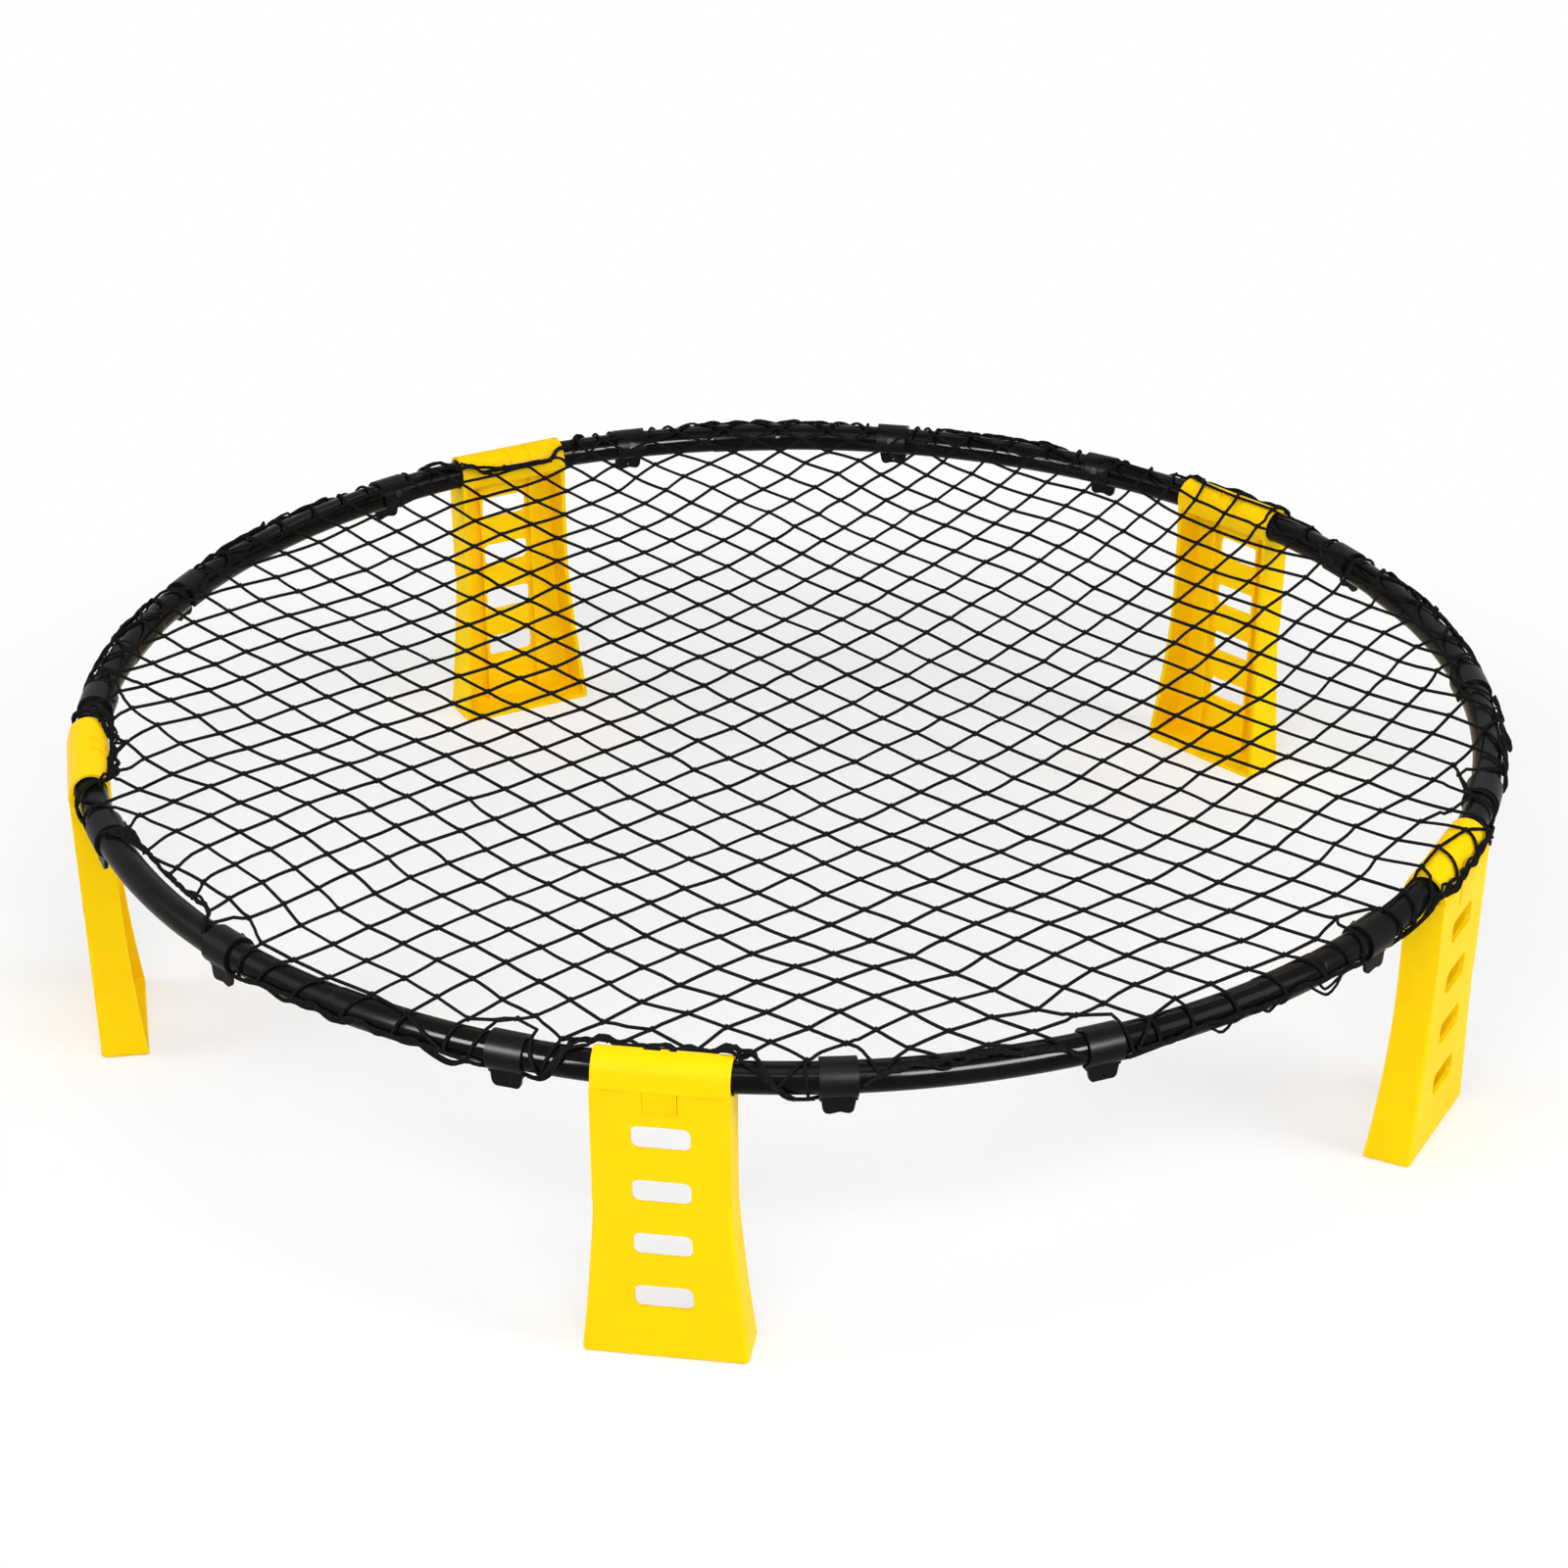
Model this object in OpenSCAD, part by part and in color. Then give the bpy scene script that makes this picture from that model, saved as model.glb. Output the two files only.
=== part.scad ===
// Knee-high round net on a sectional rim with five folding legs.
// Millimetres, +Z up. The origin is on the ground below the centre of the
// rim. Leg 1 stands on the -Y side and the others follow counter-clockwise.
// Most pieces are drawn in a local frame: X points away from the centre of
// the rim, Y runs along the rim and Z is up.

/* [Rim] */
// Diameter of the rim, measured on the centreline of its tube
rim_d = 914; // [880:2:960]
// Height of the top of the rim above the ground
rim_top = 203; // [196:1:214]
// Outside diameter of the rim tube
tube_d = 19.4; // [18.4:0.2:20.4]
// Wall of the rim tube
tube_wall = 1.2; // [1:0.1:1.5]
// How much wider than the tube the socket at a section's end is
socket_swell = 1; // [0.8:0.1:1.6]
// Length of the socket
socket_len = 50; // [40:1:56]
// Length of the narrowed end that plugs into a socket
spigot_len = 45; // [30:1:48]
// Radial clearance between a narrowed end and its socket
plug_clear = 0.1; // [0.05:0.05:0.2]
// Angle from the start of a section to its leg
joint_lead = 20; // [19:0.5:22]

/* [Leg] */
// Width of a leg's face along most of its height
leg_w = 82; // [74:1:86]
// Width of the foot
foot_w = 100; // [92:1:108]
// Depth of the foot, from its outer face to its inner edge
foot_depth = 31; // [28:1:35]
// How far outside the leg's hinge axis the foot's outer face stands
foot_face = 7; // [5:0.5:9]
// Height at which the leg starts to widen towards the foot
flare_h = 110; // [90:5:120]
// Thickness of the leg's outer face
plate_t = 3; // [2.5:0.1:3.5]
// Thickness of the leg's side flanges
flange_t = 3; // [2:0.1:3.5]
// Thickness of the sole
sole_t = 3; // [2:0.1:5]
// Radius of the foot's lower corners
corner_r = 3; // [2:0.5:5]
// Depth of the two ribs behind the outer face
rib_depth = 5; // [3:0.5:7]
// Thickness of those ribs
rib_t = 2; // [1.5:0.1:2.5]

/* [Leg slots] */
// Width of a slot in the leg's face
slot_w = 35; // [30:1:40]
// Height of a slot
slot_h = 16; // [12:0.5:20]
// Corner radius of a slot
slot_r = 4.5; // [3:0.5:5.5]
// Distance from one slot to the next
slot_pitch = 37.3; // [34:0.1:39]
// Height of the lowest slot's centre above the ground
slot_first = 44; // [38:1:46]

/* [Leg cap] */
// Wall of the shell that holds the rim tube
shell_wall = 1.8; // [1.6:0.1:2.2]
// Smallest clearance between the rim tube and the leg's bore
bore_clear = 0.35; // [0.3:0.05:0.5]
// How far the cap's outer face stands proud of the leg's outer face
cap_proud = 0.6; // [0.4:0.1:1]
// Depth of the cap's outer lip below the axis of the tube
lip_drop = 6; // [5:0.5:7]
// Width of the latch tab
tab_w = 20; // [16:1:24]
// Length of the latch tab below the lip
tab_len = 14.5; // [12:0.5:16]
// Thickness of the latch tab
tab_t = 1.9; // [1.5:0.1:2]
// Radius of the stud that latches the tab
stud_r = 2; // [1.5:0.1:2.5]

/* [Net hooks] */
// Width of a hook along the rim
hook_w = 22; // [20:1:26]
// Wall of the hook's saddle
hook_wall = 2.2; // [1.8:0.1:2.4]
// Width of the hook's tongue at its tip
tongue_w = 13; // [10:0.5:16]
// Thickness of the tongue
tongue_t = 2.4; // [2:0.1:3]
// How far the tongue's tip hangs below the axis of the tube
tongue_drop = 21.5; // [19:0.5:24]
// Radius of the hole in the tongue
tongue_hole_r = 1.5; // [1:0.1:2]
// Radius of the rivet that holds a hook on the tube
rivet_r = 1.45; // [1.2:0.05:1.8]
// Radius of the rivet's head
rivet_head_r = 2.6; // [2.2:0.1:3]

/* [Net] */
// Thickness of the net's twine
twine_d = 2.2; // [1.8:0.1:2.4]
// Distance between neighbouring parallel strands of the net
mesh_pitch = 50; // [48:0.5:60]
// Direction of the net's first set of strands
mesh_turn = 48; // [40:1:56]
// Thickness of the cord along the net's edge
edge_cord_d = 2.3; // [2:0.1:2.6]

/* [Hidden] */
$fn = 96;

// Angles of the three hooks on each rim section, counted from its leg
hook_at = [
    [-11.5, 12.5, 32],
    [-13.5, 12, 31.5],
    [-14.5, 14.5, 35],
    [-12, 12.5, 39],
    [-10.5, 12.5, 34],
];
sections = 5;
step_deg = 360 / sections;
first_deg = 270;
seam = 0.2;        // gap along a parting line
slack = 0.3;       // gap between parts that don't touch
weld = 0.5;        // how far joined shapes run into each other
over = 1;          // how far a cutter runs past what it cuts

rim_r = rim_d / 2;
tube_r = tube_d / 2;
axis_h = rim_top - tube_r;
mm_deg = 180 / (PI * rim_r);   // degrees of rim per millimetre

// Sockets and spigots
socket_r = tube_r + socket_swell / 2;
socket_bore_r = socket_r - tube_wall;
spigot_r = socket_bore_r - plug_clear;
spigot_root = 8;   // how far a spigot reaches back into its own tube
socket_deg = (socket_len + weld) * mm_deg;
spigot_deg = (spigot_len + spigot_root) * mm_deg;

// The tube curves inside the leg's straight bore, so the hinge axis lies
// half of that bow inside the rim's centreline and the bore is wider by it.
bow = rim_r - sqrt(rim_r * rim_r - leg_w * leg_w / 4);
hinge_r = rim_r - bow / 2;
bore_r = tube_r + bow / 2 + bore_clear;
shell_r = bore_r + shell_wall;

// Leg profile, seen along the rim. Heights are above the ground.
plate_face = shell_r + 1.4;
cap_face = plate_face + cap_proud;
lip_h = axis_h - lip_drop;
seam_drop = 4;                       // parting line on the inner side
inner_top = shell_r - 1.5;
inner_foot = foot_depth - foot_face;
inner_curve = 2.2;                   // power of the inner edge's curve
side_curve = 1.3;                    // power of the flare's curve
lean = (plate_face - foot_face) / lip_h;
curve_top = axis_h - 10;
rib_y = slot_w / 2 + 1.5 + rib_t / 2;
tab_gap = 0.4;
slots = 4;
pocket_depth = 1;
pocket_low = shell_r * 0.3;          // the pockets lie between these two
pocket_back = shell_r * 0.15;        // distances above and inside the axis
pockets = [[2, 5.2], [-13, 11]];     // where each starts and how wide it is

// Hooks
saddle_ri = tube_r + 0.15;
saddle_r = saddle_ri + hook_wall;
saddle_from = -62;                   // the saddle wraps the tube between
saddle_to = 205;                     // these angles, counted from outside
cord_r = edge_cord_d / 2;
cord_ring = socket_r + 0.1 + cord_r;   // the cord also crosses the sockets
bight_deg = -78;
tongue_x = cord_ring * cos(bight_deg) + cord_r + 0.15;
tongue_root_w = hook_w - 2;
hole_drop = (tongue_drop + saddle_r) / 2 + 0.5;
rivet_deg = 160;
rivet_clear = 0.1;
rivet_head_t = 0.95;
loop_y = hook_w / 2 + cord_r + 1.8;

// Net
mesh_angle = 94;                     // between the two sets of strands
net_z = axis_h + socket_r + 0.1;
net_r = rim_r - cord_r - 0.1;
cap_notch_w = leg_w + 3;
cap_notch_x = hinge_r - sqrt(pow(shell_r + slack, 2) - pow(net_z - axis_h, 2)) - 0.8;
hook_notch_w = hook_w + 2;
hook_notch_x = rim_r - sqrt(saddle_r * saddle_r - pow(net_z - axis_h, 2)) - slack;

function outer_x(h) = foot_face + lean * h;
function inner_x(h) = -inner_top
    - (inner_foot - inner_top) * pow(max(0, curve_top - h) / curve_top, inner_curve);
function half_w(h) = leg_w / 2
    + (foot_w - leg_w) / 2 * pow(max(0, flare_h - h) / flare_h, side_curve);
function hook_deg(i) = first_deg + floor(i / 3) * step_deg + hook_at[floor(i / 3)][i % 3];

// Stands a piece of the local frame on the rim at one angle
module on_rim(deg, r = rim_r) {
    rotate([0, 0, deg])
        translate([r, 0, 0])
            children();
}

// Extrudes an X-Z outline along Y, centred on Y = 0
module along_y(width) {
    translate([0, width / 2, 0])
        rotate([90, 0, 0])
            linear_extrude(width)
                children();
}

// Extrudes a Y-Z outline along X, from X = from
module along_x(from, length) {
    translate([from, 0, 0])
        rotate([90, 0, 90])
            linear_extrude(length)
                children();
}

module ring_2d(outer, inner) {
    difference() {
        circle(outer);
        circle(inner);
    }
}

// A bent tube of the rim, over an arc that starts at one angle
module bent_tube(start, arc, outer, inner) {
    rotate([0, 0, start])
        rotate_extrude(angle = arc, $fn = 720)
            translate([rim_r, 0])
                ring_2d(outer, inner, $fn = 64);
}

// A round rod through a hook's saddle and the tube's wall
module rivet_shape(radius, from, to) {
    rotate([0, 90 - rivet_deg, 0])
        translate([0, 0, from])
            cylinder(r = radius, h = to - from, $fn = 32);
}

module rim_tube(i) {
    color([0.06, 0.06, 0.07])
    translate([0, 0, axis_h])
    difference() {
        rotate([0, 0, first_deg + i * step_deg - joint_lead]) {
            bent_tube(0, step_deg - socket_len * mm_deg, tube_r, tube_r - tube_wall);
            bent_tube(step_deg - socket_deg, socket_deg - seam * mm_deg, socket_r, socket_bore_r);
            bent_tube(-spigot_len * mm_deg, spigot_deg, spigot_r, spigot_r - tube_wall);
        }
        for (a = hook_at[i])
            on_rim(first_deg + i * step_deg + a)
                rivet_shape(rivet_r + rivet_clear, tube_r - tube_wall - over, tube_r + over);
    }
}

// Outline of the leg seen from outside, drawn in by an inset
module leg_front(inset, low) {
    side = [for (k = [0:11]) let (h = low + (flare_h - low) * k / 11) [half_w(h) - inset, h]];
    right = concat(side, [[leg_w / 2 - inset, rim_top]]);
    polygon(concat(right, [for (k = [len(right) - 1:-1:0]) [-right[k][0], right[k][1]]]));
}

// The same outline down to the ground, with the foot's rounded corners
module foot_front() {
    w = half_w(corner_r);
    leg_front(0, corner_r);
    translate([-w + corner_r, 0])
        square([2 * w - 2 * corner_r, corner_r + over]);
    for (s = [-1, 1])
        translate([s * (w - corner_r), corner_r])
            circle(corner_r, $fn = 32);
}

// Side profile of the whole leg
module leg_side() {
    inner = [for (k = [0:14]) let (h = curve_top * k / 14) [inner_x(h), h]];
    polygon(concat([[outer_x(lip_h), lip_h], [foot_face, 0]], inner, [[-inner_top, axis_h - seam_drop]]));
}

module slot_2d() {
    square([slot_w - 2 * slot_r, slot_h], center = true);
    square([slot_w, slot_h - 2 * slot_r], center = true);
    for (x = [-1, 1], y = [-1, 1])
        translate([x * (slot_w / 2 - slot_r), y * (slot_h / 2 - slot_r)])
            circle(slot_r, $fn = 32);
}

// Ribs behind the outer face, from the sole up to the shell
module leg_ribs() {
    for (s = [-1, 1])
        translate([0, s * rib_y, 0])
            along_y(rib_t)
                polygon([
                    [outer_x(0) - plate_t + weld, sole_t / 2],
                    [outer_x(0) - plate_t - rib_depth, sole_t / 2],
                    [outer_x(lip_h) - plate_t - rib_depth, lip_h - tab_len],
                    [outer_x(lip_h) - plate_t + weld, lip_h - tab_len],
                ]);
}

module leg(i) {
    color([1, 0.84, 0])
    on_rim(first_deg + i * step_deg, hinge_r)
    difference() {
        union() {
            difference() {
                intersection() {
                    along_y(foot_w + over) leg_side();
                    along_x(-foot_depth, foot_depth + plate_face + over) foot_front();
                }
                intersection() {
                    along_y(foot_w + over)
                        polygon([
                            [outer_x(lip_h) - plate_t, lip_h + over],
                            [outer_x(sole_t) - plate_t, sole_t],
                            [-foot_depth - over, sole_t],
                            [-foot_depth - over, lip_h + over],
                        ]);
                    along_x(-foot_depth - over, foot_depth + plate_face) leg_front(flange_t, 0);
                }
            }
            along_y(leg_w) translate([0, axis_h]) circle(shell_r);
            leg_ribs();
        }
        // Bore for the rim tube
        translate([0, 0, axis_h]) rotate([90, 0, 0])
            cylinder(r = bore_r, h = leg_w + 2 * over, center = true);
        // Room for the cap above the parting line
        translate([0, -leg_w / 2 - over, lip_h])
            cube([cap_face + over, leg_w + 2 * over, rim_top]);
        translate([-cap_face - over, -leg_w / 2 - over, axis_h - seam_drop])
            cube([cap_face + 2 * over, leg_w + 2 * over, rim_top]);
        // Recess and hole for the latch tab
        along_y(tab_w + 2 * slack)
            polygon([
                [outer_x(lip_h) + cap_proud - tab_t - seam, lip_h + over],
                [outer_x(lip_h - tab_len) + cap_proud - tab_t - seam, lip_h - tab_len - tab_gap],
                [plate_face + over, lip_h - tab_len - tab_gap],
                [plate_face + over, lip_h + over],
            ]);
        translate([plate_face - plate_t - over, 0, lip_h - tab_len / 2])
            rotate([0, 90, 0]) cylinder(r = stud_r + seam, h = plate_t + 2 * over, $fn = 32);
        // Slots
        for (k = [0:slots - 1])
            translate([0, 0, slot_first + k * slot_pitch])
                along_x(0, plate_face + over) slot_2d();
    }
}

// Shallow pocket in the cap's inner side, from Y = from
module cap_pocket(from, width) {
    translate([0, from + width / 2, 0])
        along_y(width)
            intersection() {
                ring_2d(shell_r + over, shell_r - pocket_depth);
                translate([-shell_r, pocket_low]) square([shell_r - pocket_back, shell_r]);
            }
}

module leg_cap(i) {
    reach = sqrt(cap_face * cap_face + lip_drop * lip_drop);
    tangent = acos(shell_r / reach) - atan2(lip_drop, cap_face);
    width = leg_w - 1;
    color([1, 0.86, 0.02])
    on_rim(first_deg + i * step_deg, hinge_r)
    translate([0, 0, axis_h])
    difference() {
        union() {
            along_y(width)
                difference() {
                    union() {
                        circle(shell_r);
                        polygon([
                            [0, 0],
                            [shell_r * cos(tangent), shell_r * sin(tangent)],
                            [cap_face, -lip_drop + seam],
                            [0, -lip_drop + seam],
                        ]);
                    }
                    circle(bore_r);
                    translate([-shell_r - over, -shell_r - over])
                        square([shell_r + over, shell_r + over - seam_drop + seam]);
                    translate([-over, -shell_r - over])
                        square([cap_face + 2 * over, shell_r + over - lip_drop + seam]);
                }
            // Latch tab, in line with the leg's face
            along_y(tab_w)
                polygon([
                    [cap_face, -lip_drop + seam + weld],
                    [cap_face - tab_t, -lip_drop + seam + weld],
                    [outer_x(lip_h - tab_len) + cap_proud - tab_t, -lip_drop - tab_len],
                    [outer_x(lip_h - tab_len) + cap_proud, -lip_drop - tab_len],
                    [cap_face, -lip_drop + seam],
                ]);
            translate([plate_face - plate_t + weld, 0, -lip_drop - tab_len / 2])
                rotate([0, 90, 0]) cylinder(r = stud_r, h = plate_t - 2 * weld, $fn = 32);
        }
        for (p = pockets)
            cap_pocket(p[0], p[1]);
    }
}

module hook_side() {
    reach = 2 * saddle_r;
    difference() {
        ring_2d(saddle_r, saddle_ri);
        polygon([
            [0, 0],
            [reach * cos(saddle_to), reach * sin(saddle_to)],
            [0, -reach],
            [reach * cos(saddle_from), reach * sin(saddle_from)],
        ]);
    }
    translate([tongue_x, -tongue_drop])
        square([tongue_t, tongue_drop - tube_r + 0.4]);
}

module net_hook(i) {
    color([0.09, 0.09, 0.1])
    translate([0, 0, axis_h])
    rotate([0, 0, hook_deg(i)])
    difference() {
        rotate([0, 0, -hook_w / 2 * mm_deg])
            rotate_extrude(angle = hook_w * mm_deg, $fn = 720)
                translate([rim_r, 0]) hook_side();
        translate([rim_r, 0, 0]) {
            // Sloping sides of the tongue
            for (s = [-1, 1])
                along_x(0, saddle_r)
                    polygon([
                        [s * tongue_w / 2, -tongue_drop - over],
                        [s * tongue_w / 2, -tongue_drop],
                        [s * tongue_root_w / 2, -saddle_r],
                        [s * hook_w, -saddle_r],
                        [s * hook_w, -tongue_drop - over],
                    ]);
            translate([0, 0, -hole_drop])
                rotate([0, 90, 0]) cylinder(r = tongue_hole_r, h = saddle_r, $fn = 32);
            rivet_shape(rivet_r + rivet_clear, saddle_ri - over, saddle_r + over);
        }
    }
}

module hook_rivets() {
    color([0.2, 0.2, 0.21])
    for (i = [0:14])
        translate([0, 0, axis_h])
            on_rim(hook_deg(i)) {
                rivet_shape(rivet_r, tube_r - tube_wall - over, saddle_r + weld);
                rivet_shape(rivet_head_r, saddle_r + 0.05, saddle_r + rivet_head_t);
            }
}

// One set of parallel strands
module strands_2d(deg) {
    // the quarter pitch keeps a crossing off the centre, as a cut net has it
    count = floor(rim_r / mesh_pitch);
    rotate(deg)
        for (k = [-count:count])
            translate([-rim_r, (k + 0.25) * mesh_pitch - twine_d / 2])
                square([rim_d, twine_d]);
}

// A notch in the net's edge, from x outwards, made bigger all round by grow
module notch_2d(deg, x, width, grow) {
    rotate(deg)
        translate([x - grow, -width / 2 - grow])
            square([rim_r - x + grow + over, width + 2 * grow]);
}

module notches_2d(grow) {
    for (i = [0:sections - 1])
        notch_2d(first_deg + i * step_deg, cap_notch_x, cap_notch_w, grow);
    for (i = [0:14])
        notch_2d(hook_deg(i), hook_notch_x, hook_notch_w, grow);
}

module net() {
    color([0.05, 0.05, 0.05])
    translate([0, 0, net_z])
    linear_extrude(twine_d)
    difference() {
        intersection() {
            circle(net_r, $fn = 360);
            union() {
                strands_2d(mesh_turn);
                strands_2d(mesh_turn + mesh_angle);
                difference() {
                    circle(rim_r, $fn = 360);
                    circle(net_r - twine_d, $fn = 360);
                }
                notches_2d(twine_d);
            }
        }
        notches_2d(0);
    }
}

// The edge cord over the crown of the tube, between two angles
module crown_cord(from, to) {
    if (to > from)
        rotate([0, 0, from])
            rotate_extrude(angle = to - from, $fn = 720)
                translate([rim_r, cord_ring]) circle(cord_r, $fn = 24);
}

// The edge cord down to a hook, behind its tongue and back up
module hook_loop() {
    for (s = [-1, 1])
        translate([rim_r, s * loop_y, 0])
            rotate([90, 0, 0]) rotate([0, 0, bight_deg])
                rotate_extrude(angle = 90 - bight_deg, $fn = 96)
                    translate([cord_ring, 0]) circle(cord_r, $fn = 24);
    translate([rim_r + cord_ring * cos(bight_deg), 0, cord_ring * sin(bight_deg)])
        rotate([90, 0, 0]) cylinder(r = cord_r, h = 2 * loop_y + 2 * cord_r, center = true, $fn = 24);
}

module net_edge_cord() {
    hook_gap = (loop_y + cord_r + slack) * mm_deg;
    leg_gap = (cap_notch_w / 2 + twine_d) * mm_deg;
    color([0.05, 0.05, 0.05])
    translate([0, 0, axis_h])
    for (i = [0:sections - 1]) {
        at = first_deg + i * step_deg;
        next = at + step_deg;
        crown_cord(at + leg_gap, at + hook_at[i][1] - hook_gap);
        crown_cord(at + hook_at[i][1] + hook_gap, at + hook_at[i][2] - hook_gap);
        crown_cord(at + hook_at[i][2] + hook_gap, next + hook_at[(i + 1) % sections][0] - hook_gap);
        crown_cord(at + hook_at[i][0] + hook_gap, at - leg_gap);
        for (a = hook_at[i])
            rotate([0, 0, at + a]) hook_loop();
    }
}

rim_tube(0);  // rim_tube_1
rim_tube(1);  // rim_tube_2
rim_tube(2);  // rim_tube_3
rim_tube(3);  // rim_tube_4
rim_tube(4);  // rim_tube_5
leg(0);  // leg_1
leg(1);  // leg_2
leg(2);  // leg_3
leg(3);  // leg_4
leg(4);  // leg_5
leg_cap(0);  // leg_cap_1
leg_cap(1);  // leg_cap_2
leg_cap(2);  // leg_cap_3
leg_cap(3);  // leg_cap_4
leg_cap(4);  // leg_cap_5
net_hook(0);  // net_hook_1
net_hook(1);  // net_hook_2
net_hook(2);  // net_hook_3
net_hook(3);  // net_hook_4
net_hook(4);  // net_hook_5
net_hook(5);  // net_hook_6
net_hook(6);  // net_hook_7
net_hook(7);  // net_hook_8
net_hook(8);  // net_hook_9
net_hook(9);  // net_hook_10
net_hook(10);  // net_hook_11
net_hook(11);  // net_hook_12
net_hook(12);  // net_hook_13
net_hook(13);  // net_hook_14
net_hook(14);  // net_hook_15
hook_rivets();
net();
net_edge_cord();
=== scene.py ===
"""Looks of the round net set: a tight diamond net on a black tube rim with five yellow folding legs.

Lengths are in metres. The origin is on the ground below the centre of the rim and leg 1 stands on
the -Y side, with the others counter-clockwise. Angles along the rim are counted from +X.
"""

import math

import bmesh
import bpy
import numpy as np
from mathutils import Matrix, Vector


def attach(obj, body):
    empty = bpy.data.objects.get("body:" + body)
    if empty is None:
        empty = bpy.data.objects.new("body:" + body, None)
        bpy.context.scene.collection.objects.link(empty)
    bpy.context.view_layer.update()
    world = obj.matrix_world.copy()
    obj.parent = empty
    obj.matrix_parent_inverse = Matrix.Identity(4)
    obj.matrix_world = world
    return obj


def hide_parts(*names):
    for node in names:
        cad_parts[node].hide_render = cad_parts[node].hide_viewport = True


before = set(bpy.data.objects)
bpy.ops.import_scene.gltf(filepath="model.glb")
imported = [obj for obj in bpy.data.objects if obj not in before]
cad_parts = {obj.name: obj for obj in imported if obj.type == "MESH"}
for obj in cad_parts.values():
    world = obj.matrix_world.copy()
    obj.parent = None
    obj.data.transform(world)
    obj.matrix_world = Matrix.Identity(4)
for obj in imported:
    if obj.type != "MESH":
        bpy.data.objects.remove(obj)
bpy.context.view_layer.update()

# Sizes of the frame that the looks are built on
RIM_R = 0.457
TUBE_R = 0.0097
AXIS_H = 0.1933
HINGE_R = 0.45608
SHELL_R = 0.01277
PLATE_FACE = 0.01417
LIP_H = 0.1873
FOOT_FACE = 0.007
SOCKET_R = 0.0102
SADDLE_R = 0.01205
TONGUE_DROP = 0.0215
HOLE_DROP = 0.01728
SECTIONS = 5
STEP = 72
LEG_DEG = [270 + STEP * i for i in range(SECTIONS)]
HOOK_AT = [[-11.5, 12.5, 32], [-13.5, 12, 31.5], [-14.5, 14.5, 35], [-12, 12.5, 39], [-10.5, 12.5, 34]]
HOOK_DEG = [LEG_DEG[i] + a for i in range(SECTIONS) for a in HOOK_AT[i]]
JOINT_LEAD = 20
SOCKET_LEN = 0.050

# What the camera looks at, how far away it is, its azimuth and elevation in degrees, and its lens
AIM, AWAY = Vector((-0.01345, 0.06925, 0.1026)), 2.986
AZIMUTH, ELEVATION, LENS = 8.96, 27.90, 100.3

# Radii of the rounded edges
CORNER_ROUND = 0.0032            # a leg's outer corners
SEAM_ROUND = 0.0010              # both sides of the seam below a cap's lip
LEG_EDGE_ROUND = 0.0005
CAP_END_ROUND = 0.0014
CAP_EDGE_ROUND = 0.0006
TIP_ROUND = 0.0038               # the tip of a hook's tongue
HOOK_EDGE_ROUND = 0.00035

TOUCH = 0.0004                   # a vertex this near a face lies on it
LEG_SIDE = 0.0405                # further along the rim than this are a leg's and a cap's sides
SOLE_TOP = 0.0032                # and lower than this is the sole
TIP_DROP = 0.0213                # further below the tube's axis than this is the tip of a tongue
BROADER = 0.27                   # how much broader a tongue's tip is than its root, as a share
HOLE_SHARE = 0.5                 # size of the hole in a tongue against the solid's
TUBE_WALL = 0.0012

scatter = np.random.default_rng(11)


# ---------------------------------------------------------------- camera, floor and light

def set_camera():
    data = bpy.data.cameras.new("camera")
    data.sensor_width, data.lens = 36, LENS
    data.clip_start, data.clip_end = 0.05, 50
    camera = bpy.data.objects.new("camera", data)
    bpy.context.scene.collection.objects.link(camera)
    azimuth, elevation = math.radians(AZIMUTH), math.radians(ELEVATION)
    back = Vector((math.sin(azimuth) * math.cos(elevation),
                   -math.cos(azimuth) * math.cos(elevation), math.sin(elevation)))
    camera.location = AIM + back * AWAY
    camera.rotation_euler = (-back).to_track_quat("-Z", "Y").to_euler()
    bpy.context.scene.camera = camera
    bpy.context.scene.view_settings.view_transform = "Standard"


def lamp(name, place, aim, size, height, power):
    data = bpy.data.lights.new(name, "AREA")
    data.shape, data.size, data.size_y, data.energy = "RECTANGLE", size, height, power
    obj = bpy.data.objects.new(name, data)
    obj.location = place
    obj.rotation_euler = (Vector(aim) - Vector(place)).to_track_quat("-Z", "Y").to_euler()
    bpy.context.scene.collection.objects.link(obj)
    return obj


def add_lamps():
    lamp("lamp_front", (0.25, -1.75, 1.5), (0, -0.3, 0.1), 1.3, 0.4, 16)
    lamp("lamp_left", (-2.3, -0.6, 1.5), (0, 0, 0.1), 1.4, 1.4, 24)
    lamp("lamp_right", (2.4, -0.7, 1.5), (0, 0, 0.1), 1.4, 1.4, 34)
    lamp("lamp_back", (0.1, 1.6, 2.2), (0, 0.1, 0.15), 1.6, 0.3, 6)
    lamp("lamp_top", (0, -0.8, 1.8), (0, -0.2, 0), 0.9, 0.9, 10)
    # Two long strips that show only as highlights, along the glossy tube
    for strip in (lamp("strip_left", (-1.28, -1.98, 1.26), (-0.12, -0.44, 0.19), 1.0, 0.75, 280),
                  lamp("strip_right", (1.49, -1.84, 1.26), (0.21, -0.41, 0.19), 1.3, 0.75, 340)):
        strip.visible_diffuse = False


def seen_directly(nodes, links):
    """1 for rays that come from the camera, a glossy surface or clear material, else 0."""
    path = nodes.new("ShaderNodeLightPath")
    value = path.outputs["Is Camera Ray"]
    for name in ("Is Glossy Ray", "Is Transmission Ray"):
        either = nodes.new("ShaderNodeMath")
        either.operation = "MAXIMUM"
        links.new(value, either.inputs[0])
        links.new(path.outputs[name], either.inputs[1])
        value = either.outputs[0]
    return value


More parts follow.
